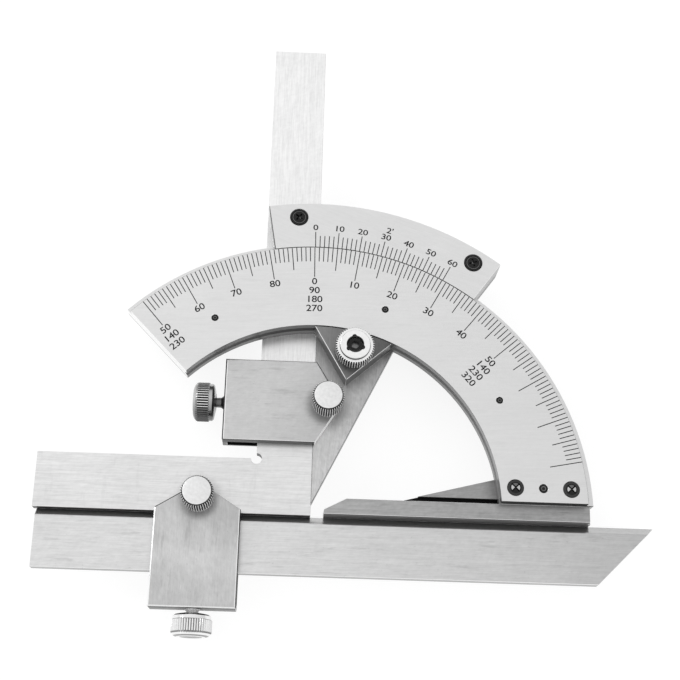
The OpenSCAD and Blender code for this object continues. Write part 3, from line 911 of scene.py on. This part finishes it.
class PROTRACTOR_OT_clamps(bpy.types.Operator):
    """Dresses the two channel clamps"""

    bl_idname = "protractor.clamps"
    bl_label = "Clamps"

    def execute(self, context):
        low = corners("square_clamp")[0]
        # The square's clamp: painted shade on its left, lower and upper nose chamfers, and a
        # painted highlight strip on its left and on its lower nose wall
        self.clamp("square", "fan_body", 0.22, lambda at: at.x < low.x + 0.6,
                   lambda at, normal: normal.x < -0.4 or normal.y < -0.6
                   or (normal.x > 0.25 and normal.y > 0.25),
                   lambda at, normal: normal.x > 0.3 and normal.y < -0.3 and at.z > 2.0)
        high = corners("blade_clamp")[1]
        # The blade's clamp: painted shade on its right, upper and low chamfers, and a painted
        # highlight strip on its right
        self.clamp("blade", "square_body", 0.18, lambda at: at.x > high.x - 0.6,
                   lambda at, normal: normal.x > 0.3 or normal.y > 0.3 or at.z < ARM_Z)
        return {"FINISHED"}

    def clamp(self, arm, body, strip, has_strip, is_dull, is_lit=None):
        """One clamp: its chamfers get painted shade or a painted highlight, its nose wall may get a
        painted highlight, and its channel is painted as shadow.
        """
        node_name = arm + "_clamp"
        clamp = plate(node_name, arm + "_channel", arm.title() + " clamp steel", sizes().edge / 2,
                      "Clamp wall", outline=sizes().clamp_edge)
        paint(clamp, "Dark seam", lambda at, normal: 0.3 < abs(normal.z) < 0.95
              and is_dull(at, normal))
        if is_lit:
            paint(clamp, "Lit edge", is_lit)
        paint(clamp, "Shadow gap", lambda at, normal: abs(normal.z) > WALL
              and -0.1 < at.z < ARM_Z + 0.2)
        edge_strip(clamp, corners(node_name)[1].z, strip, has_strip)
        finish_piece(clamp, body, "ground_steel", node_name)


# Graduations

class PROTRACTOR_OT_lines(bpy.types.Operator):
    """Fills the engraved lines of the ring and the vernier"""

    bl_idname = "protractor.lines"
    bl_label = "Engraved Lines"

    def execute(self, context):
        width, proud = sizes().line_w / MM, sizes().proud / MM

        def lines(name, body, start, reaches, angles):
            made = []
            for reach in sorted(set(reaches)):
                master = block((abs(reach), width, LINE_DEPTH + proud),
                               (start + reach / 2, 0, FACE_Z + (proud - LINE_DEPTH) / 2))
                give(master, "Line paint")
                made += twins(master, [((0, 0, 0), around(angle))
                                       for its_reach, angle in zip(reaches, angles)
                                       if its_reach == reach])
            finish_piece(join(made, name), body, "black_steel")

        degrees = range(-40, 81)
        lines("ring_lines", "scale_body", SCALE_R - 0.10,
              [-TEN_LINE if degree % 10 == 0 else -FIVE_LINE if degree % 5 == 0 else -ONE_LINE
               for degree in degrees], [ZERO - degree for degree in degrees])
        marks = range(31)
        lines("vernier_lines", "fan_body", SCALE_R + 0.15,
              [SHORT_MARK if mark % 5 else LONG_MARK for mark in marks],
              [vernier_angle(mark) for mark in marks])
        return {"FINISHED"}


class PROTRACTOR_OT_numbers(bpy.types.Operator):
    """Writes the plain numbers of the ring and the vernier"""

    bl_idname = "protractor.numbers"
    bl_label = "Numbers"

    def execute(self, context):
        proud = sizes().proud / MM

        def number(words, height, radius, angle, wide):
            pick_none()
            bpy.ops.object.text_add()
            set_all(context.active_object.data, body=words, size=height * MM / DIGIT_SHARE,
                    align_x="CENTER", align_y="CENTER", space_character=0.96, resolution_u=3,
                    extrude=(LINE_DEPTH + proud) / 2 * MM, bevel_depth=sizes().bold,
                    bevel_resolution=0)
            bpy.ops.object.convert(target="MESH")
            text = context.active_object
            text.name = "number"
            give(text, "Line paint")
            place(text, on_circle(radius, angle, FACE_Z + (proud - LINE_DEPTH) / 2),
                  around(angle - 90) @ Matrix.Diagonal((wide, 1, 1, 1)))
            return text

        large, small = sizes().digit / MM, sizes().small_digit / MM
        ring = []
        stacks = {-40: ("50", "140", "230"), 0: ("0", "90", "180", "270"),
                  50: ("50", "140", "230", "320")}
        for degree in range(-40, 51, 10):
            words = stacks.get(degree) or (str(90 + degree) if degree < 0 else str(degree),)
            for row, word in enumerate(words):
                ring.append(number(word, large, DIGIT_R - row * DIGIT_ROW, ZERO - degree,
                                   DIGIT_WIDE))
        vernier = [number(str(mark * 2), small, SMALL_DIGIT_R, vernier_angle(mark),
                          SMALL_DIGIT_WIDE) for mark in range(0, 31, 5)]
        vernier.append(number("2'", small, MINUTES_R, VERNIER_ZERO - MINUTES_TURN,
                              SMALL_DIGIT_WIDE))
        finish_piece(join(ring, "ring_numbers"), "scale_body", "black_steel")
        finish_piece(join(vernier, "vernier_numbers"), "fan_body", "black_steel")
        return {"FINISHED"}


# Knobs and screws

class PROTRACTOR_OT_front_knobs(bpy.types.Operator):
    """Turns the two knurled front knobs"""

    bl_idname = "protractor.front_knobs"
    bl_label = "Front Knobs"

    def execute(self, context):
        teeth = sizes().knob_teeth
        rings = [(1.5, 0.6), (1.5, 5.6), (2.9, 5.6), (3.15, 5.95), (3.55, 5.95), (3.95, 6.25),
                 (3.95, 11.0), (3.62, 11.55), (3.58, 11.60), (3.42, 11.66), (3.38, 12.0),
                 (3.25, 12.05), (0.4, 12.05)]
        master = turned("front_knob", rings, 4 * teeth)
        give(master, "Chrome")
        knurled(master, teeth, 6.25, 11.55, 3.95, sizes().knurl / MM)
        # Painted shade in the groove round the top
        paint(master, "Dark seam", within((0, 3.61), (11.5, 11.9)))
        paint(master, "Knob top", within(z=(11.98, FAR)))
        for arm in ("square", "blade"):
            centre = middle(arm + "_clamp_knob")
            knob = twin(master, arm + "_knob", (*centre.xy, 0), around(3))
            finish_piece(knob, arm + "_knob_body", "knob_chrome", arm + "_clamp_knob",
                         smooth=KNOB_SMOOTH)
        bpy.data.objects.remove(master)
        return {"FINISHED"}


class PROTRACTOR_OT_side_screws(bpy.types.Operator):
    """Turns the two barrel-shaped knurled screws that press the pads"""

    bl_idname = "protractor.side_screws"
    bl_label = "Side Screws"

    def execute(self, context):
        low, high = corners("square_pad_screw")
        # The square's screw: painted light along it, and a neck in painted shade
        self.screw("square", high.x - low.x, 2.4, "Dark chrome", "Dull edge",
                   ("Knurl groove", "Knurl flank", "Dark chrome ridge"), (),
                   (high.x, (low.y + high.y) / 2, (low.z + high.z) / 2),
                   around(-90, "Y"))
        low, high = corners("blade_pad_screw")
        # The blade's screw: a neck in a white painted highlight
        self.screw("blade", high.y - low.y, 1.2, "Chrome", "Lit edge",
                   ("Knurl flank", "Chrome", "Knurl ridge"), ((4.3, 0.1), (1.3, 0.06), (5.1, 0.1)),
                   ((low.x + high.x) / 2, high.y, (low.z + high.z) / 2),
                   around(90, "X"))
        return {"FINISHED"}

    def screw(self, arm, span, neck_l, finish, neck_finish, knurl, seams, at, turn):
        """One screw, from its whole length and its neck's; seams are dark bands on its head."""
        teeth = sizes().side_teeth
        head = span - 5.3
        neck = head - neck_l
        rings = [(1.2, 0.0), (1.2, neck), (1.9, neck), (1.25, neck + 0.8), (1.2, head - 0.4),
                 *above(head, (2.2, -0.3), (3.6, 0), (4.25, 0.15), (4.62, 0.50), (4.60, 0.95),
                        (4.62, 1.25), (4.85, 1.4), (4.85, 4.1), (4.66, 4.5), (4.2, 4.95),
                        (3.5, 5.22), (2.9, 5.3), (2.7, 5.18), (0.5, 5.12))]
        piece = turned(arm + "_side_screw", rings, 4 * teeth)
        give(piece, finish)
        knurled(piece, teeth, head + 1.4, head + 4.1, 4.85, sizes().knurl * 1.1 / MM, 0.3, knurl)
        paint(piece, neck_finish, within(z=(neck, head - 0.3)))
        for rise, reach in seams:
            paint(piece, "Satin wall", within(z=(head + rise - reach, head + rise + reach)))
        place(piece, at, turn)
        finish_piece(piece, arm + "_screw_body", "knob_chrome", arm + "_pad_screw",
                     smooth=KNOB_SMOOTH)


class PROTRACTOR_OT_brake(bpy.types.Operator):
    """Turns the knurled brake nut and the socketed stud inside it"""

    bl_idname = "protractor.brake"
    bl_label = "Brake Nut and Stud"

    def execute(self, context):
        centre = middle("brake_nut")
        self.nut(centre)
        self.stud(centre)
        return {"FINISHED"}

    def nut(self, centre):
        teeth = sizes().nut_teeth
        low = under("brake_nut")
        rings = above(low, (1.96, 0), (4.45, 0), (4.8, 0.3), (4.8, 3.2), (4.72, 3.5), (4.50, 3.68),
                      (4.38, 3.70), (3.92, 3.72), (3.80, 3.72), (3.74, 3.74), (3.70, 4.42),
                      (3.55, 4.6), (2.15, 4.6), (1.98, 4.48))
        nut = turned("brake_knob", rings, 4 * teeth, bored=True)
        give(nut, "Chrome")
        knurled(nut, teeth, low + 0.3, low + 3.68, 4.8, sizes().knurl * 1.2 / MM, 0.35)
        # A painted highlight on the nut's flat tops, and painted shade in its groove
        paint(nut, "Bright edge", within(z=(low + 3.69, FAR), up=(0.9, 2)))
        paint(nut, "Dark seam", within((3.66, 3.80), (low + 3.73, low + 4.4)))
        cut(nut, *(prism(16, 0.6, 1.0, on_circle(1.94, angle, low + 4.6))
                   for angle in (97, 217, 337)))
        # Painted shade in the notches
        paint(nut, "Dark seam", within((1.99, 2.52), (low + 4.0, low + 4.57)))
        place(nut, (*centre.xy, 0))
        finish_piece(nut, "nut_body", "knob_chrome", "brake_nut", smooth=KNOB_SMOOTH)

    def stud(self, centre):
        bottom, end = under("brake_stud"), top("brake_stud")
        rings = [(1.9, bottom), (1.9, end - 0.3), (1.65, end), (0.3, end + 0.02)]
        stud = turned("brake_spindle", rings, 48)
        cut(stud, prism(6, 1.05, 2.4, (0, 0, end), 12))
        give(stud, "Black steel")
        # Painted highlights on the floor of the socket and on the top chamfer
        paint(stud, "Black edge", within(z=(-FAR, end - 1), up=(0.9, 2)))
        paint(stud, "Black edge", within(z=(end - 0.28, end - 0.02), up=(0.3, 2)))
        place(stud, (*centre.xy, 0))
        finish_piece(stud, "fan_body", "black_steel", "brake_stud", smooth=KNOB_SMOOTH)


class PROTRACTOR_OT_small_screws(bpy.types.Operator):
    """Makes the vernier screws, the base screws, the dowel and the gear's pins"""

    bl_idname = "protractor.small_screws"
    bl_label = "Small Screws and Pins"

    def execute(self, context):
        self.vernier_screws()
        self.base_screws()
        self.pins()
        return {"FINISHED"}

    def vernier_screws(self):
        rings = above(FACE_Z, (1.2, -4.2), (1.2, -1.3), (2.2, -1.3), (2.2, 0.1), (2.08, 0.24),
                      (1.72, 0.25), (1.66, 0.10), (1.54, 0.10), (1.46, 0.20), (0.9, 0.24),
                      (0.2, 0.25))
        master = turned("vernier_screw", rings, 48)
        cut_cross(master, (2.1, 0.46, 1.2), FACE_Z, 30)
        give(master, "Black steel")
        # A painted highlight ring in the head, and a painted glint on half of the recess floor
        paint(master, "Black edge", within((1.5, 1.68), (FACE_Z, FAR)))
        paint(master, "Black edge", lambda at, normal: normal.z > 0.9 and at.z < FACE_Z - 0.5
              and off_axis(at) < 1.1 and at.x > 0)
        screws = twins(master, [(on_circle(SCREW_R, angle, 0), around(turn))
                                for angle, turn in ((94.4, 20), (58.65, 75))])
        finish_piece(join(screws, "vernier_cross_screws"), "fan_body", "black_steel",
                     "vernier_screws")

    def base_screws(self):
        low, high = corners("base_screws")
        radius = (high.y - low.y) / 2
        rings = [(1.3, low.z),
                 *above(FACE_Z, (1.3, -1.5), (1.95, -1.5), (1.95, -0.05), (1.84, 0.10),
                        (1.38, 0.20), (1.05, 0.30), (0.45, 0.38), (0.15, 0.39))]
        master = turned("base_screw", rings, 48)
        cut_cross(master, (2.7, 0.34, 1.0), FACE_Z + 0.2, 45)
        give(master, "Black steel")
        # A darker rim, painted glints left and right of the cross, and a dim painted glint above it
        paint(master, "Dark seam", within((1.40, FAR), (FACE_Z, FAR), (0.3, 2)))
        paint(master, "Glint", lambda at, normal: normal.z > 0.5 and at.z > FACE_Z + 0.2
              and abs(at.x) > 1.4 * abs(at.y) and 0.3 < abs(at.x) < 0.95)
        paint(master, "Dull edge", lambda at, normal: normal.z > 0.5 and at.z > FACE_Z + 0.2
              and 0.2 < at.y < 0.8 and abs(at.x) < 0.8 * at.y)
        screws = twins(master, [((x, (low.y + high.y) / 2, 0), None)
                                for x in (low.x + radius, high.x - radius)])
        finish_piece(join(screws, "base_cross_screws"), "scale_body", "black_steel",
                     "base_screws")

    def pins(self):
        centre = middle("base_dowel")
        rings = [(1.07, under("base_dowel")),
                 *above(FACE_Z, (1.07, -0.2), (0.9, -0.03), (0.58, 0.06), (0.40, -0.02),
                        (0.15, 0.02))]
        dowel = turned("base_pin", rings, 32)
        give(dowel, "Black steel")
        # A painted highlight ring round the dowel's end
        paint(dowel, "Black edge", within((0.40, 0.60), (FACE_Z - 0.1, FAR)))
        place(dowel, (*centre.xy, 0))
        finish_piece(dowel, "scale_body", "black_steel", "base_dowel", smooth=PIN_SMOOTH)
        rings = [(0.87, under("gear_pins")),
                 *above(FACE_Z, (0.87, -0.2), (0.72, -0.05), (0.42, 0), (0.30, -0.05),
                        (0.12, -0.03))]
        master = turned("gear_pin", rings, 32)
        give(master, "Black steel")
        # A painted highlight ring round each pin's end
        paint(master, "Black edge", within((0.28, 0.44), (FACE_Z - 0.1, FAR)))
        pins = twins(master, [(on_circle(PIN_R, ZERO + turn, 0), None)
                              for turn in (27.7, -19.6, -59.7)])
        finish_piece(join(pins, "sector_pins"), "scale_body", "black_steel", "gear_pins",
                     smooth=PIN_SMOOTH)


class PROTRACTOR_OT_back(bpy.types.Operator):
    """Turns the knob behind the plate and finishes the gear, the pinion and the inner pieces"""

    bl_idname = "protractor.back"
    bl_label = "Back and Inner Pieces"

    def execute(self, context):
        teeth = sizes().dial_teeth
        low, high = corners("pinion_knob")
        rings = [*above(low.z, (1.95, 0.8), (1.95, 0.05), (2.1, 0), (2.9, 0), (3.1, 0.25),
                        (4.2, 0.3), (4.5, 0), (5.0, 0), (5.5, 0.5)),
                 *above(high.z, (5.5, -0.5), (5.0, 0), (1.65, 0), (1.65, -2.0), (0.95, -2.0)),
                 (0.95, low.z + 0.8)]
        dial = turned("pinion_dial", rings, 4 * teeth, bored=True)
        give(dial, "Chrome")
        knurled(dial, teeth, low.z + 0.5, high.z - 0.5, 5.5, sizes().knurl / MM,
                finishes=("Knurl groove", "Knurl flank", "Chrome"))
        centre = middle("pinion_knob")
        place(dial, (*centre.xy, 0))
        finish_piece(dial, "pinion_body", "knob_chrome", "pinion_knob", smooth=KNOB_SMOOTH)
        finishes = {
            "Black steel": ("seat_screws", "pinion_knob_screw"),
            "Inner steel": ("block_dowels", "brake_washer", "sector_gear", "square_pad",
                            "blade_pad"),
            "Brass": ("pinion", "pinion_bush"),
        }
        for finish, nodes in finishes.items():
            for piece in (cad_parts[name] for name in nodes):
                if not piece.material_slots:
                    piece.data.materials.append(None)
                for material_slot in piece.material_slots:
                    material_slot.material = bpy.data.materials[finish]
        return {"FINISHED"}


# Stage

class PROTRACTOR_OT_stage(bpy.types.Operator):
    """Sets the floor, the soft lights, the world and the camera"""

    bl_idname = "protractor.stage"
    bl_label = "Stage"

    def execute(self, context):
        self.floor()
        self.lights()
        self.world()
        self.camera()
        context.scene.view_settings.view_transform = "Standard"
        return {"FINISHED"}

    def floor(self):
        """A grey floor with a low wall round it, which cameras and mirrors see as white."""
        pick_none()
        bpy.ops.mesh.primitive_plane_add(size=60.0, location=(0, 0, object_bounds()[0].z - 0.0001))
        floor = bpy.context.active_object
        floor.name = "studio_floor"
        edit(floor, "EDGE", "SELECT")
        bpy.ops.mesh.extrude_edges_move(TRANSFORM_OT_translate={"value": (0, 0, 1.5)})
        leave()
        floor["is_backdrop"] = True
        tree, shader = new_finish("Studio floor", 0.22, 0.9, 0.0, 0.0)
        shader.inputs["Emission Color"].default_value = (1, 1, 1, 1)
        rays = add_node(tree, "LightPath").outputs
        seen = math_node(tree, "MAXIMUM", rays["Is Camera Ray"], rays["Is Glossy Ray"])
        seen = math_node(tree, "MAXIMUM", seen, rays["Is Transmission Ray"])
        tree.links.new(times(tree, seen, FLOOR_GLOW), shader.inputs["Emission Strength"])
        give(floor, "Studio floor")

    def lights(self):
        for name, at, watts in (("key_light", (-0.85, 0.45, 0.50), 3.0),
                                ("fill_light", (0.75, -0.55, 0.45), 1.2)):
            pick_none()
            bpy.ops.object.light_add(type="AREA", location=at)
            lamp = bpy.context.active_object
            lamp.name = name
            set_all(lamp.data, shape="DISK", size=0.6, energy=watts)
            lamp.rotation_euler = (-Vector(at)).to_track_quat("-Z", "Y").to_euler()

    def world(self):
        world = bpy.data.worlds.new("Studio")
        bpy.context.scene.world = world
        world.use_nodes = True
        tree = world.node_tree
        background = tree.nodes["Background"]
        background.inputs["Color"].default_value = (1, 1, 1, 1)
        split = add_node(tree, "SeparateXYZ")
        tree.links.new(add_node(tree, "TexCoord").outputs["Generated"], split.inputs[0])
        side = line(tree, split.outputs["X"], WORLD_X, WORLD_LEVEL)
        level = line(tree, split.outputs["Z"], WORLD_Z, side)
        tree.links.new(level, background.inputs["Strength"])

    def camera(self):
        pick_none()
        bpy.ops.object.camera_add(location=Vector(CAMERA_PLACE) * MM,
                                  rotation=[math.radians(turn) for turn in CAMERA_TURN])
        camera = bpy.context.active_object
        camera.name = "photo_camera"
        set_all(camera.data, lens=CAMERA_LENS, sensor_width=36.0, shift_x=CAMERA_SHIFT[0],
                shift_y=CAMERA_SHIFT[1], clip_start=0.005, clip_end=100.0)
        bpy.context.scene.camera = camera


OPERATORS = (
    PROTRACTOR_OT_finishes, PROTRACTOR_OT_ring, PROTRACTOR_OT_vernier, PROTRACTOR_OT_fan,
    PROTRACTOR_OT_rule, PROTRACTOR_OT_arms, PROTRACTOR_OT_clamps, PROTRACTOR_OT_lines,
    PROTRACTOR_OT_numbers, PROTRACTOR_OT_front_knobs, PROTRACTOR_OT_side_screws,
    PROTRACTOR_OT_brake, PROTRACTOR_OT_small_screws, PROTRACTOR_OT_back, PROTRACTOR_OT_stage,
)


class PROTRACTOR_PT_panel(bpy.types.Panel):
    """Lists the steps and the values that they read"""

    bl_idname = "PROTRACTOR_PT_panel"
    bl_label = "Bevel Protractor"
    bl_space_type = "VIEW_3D"
    bl_region_type = "UI"
    bl_category = "Protractor"

    def draw(self, context):
        for operator in OPERATORS:
            self.layout.operator(operator.bl_idname)
        for group in (sizes(), tints()):
            box = self.layout.box()
            for name in group.__annotations__:
                box.prop(group, name)


CLASSES = (ProtractorSizes, ProtractorColours, *OPERATORS, PROTRACTOR_PT_panel)


def register():
    for cls in CLASSES:
        bpy.utils.register_class(cls)
    bpy.types.Scene.protractor_sizes = PointerProperty(type=ProtractorSizes)
    bpy.types.Scene.protractor_colours = PointerProperty(type=ProtractorColours)


def unregister():
    del bpy.types.Scene.protractor_colours
    del bpy.types.Scene.protractor_sizes
    for cls in reversed(CLASSES):
        bpy.utils.unregister_class(cls)


def main():
    register()
    for operator in OPERATORS:
        group, name = operator.bl_idname.split(".")
        getattr(getattr(bpy.ops, group), name)()
    pick_none()


if __name__ == "__main__":
    main()
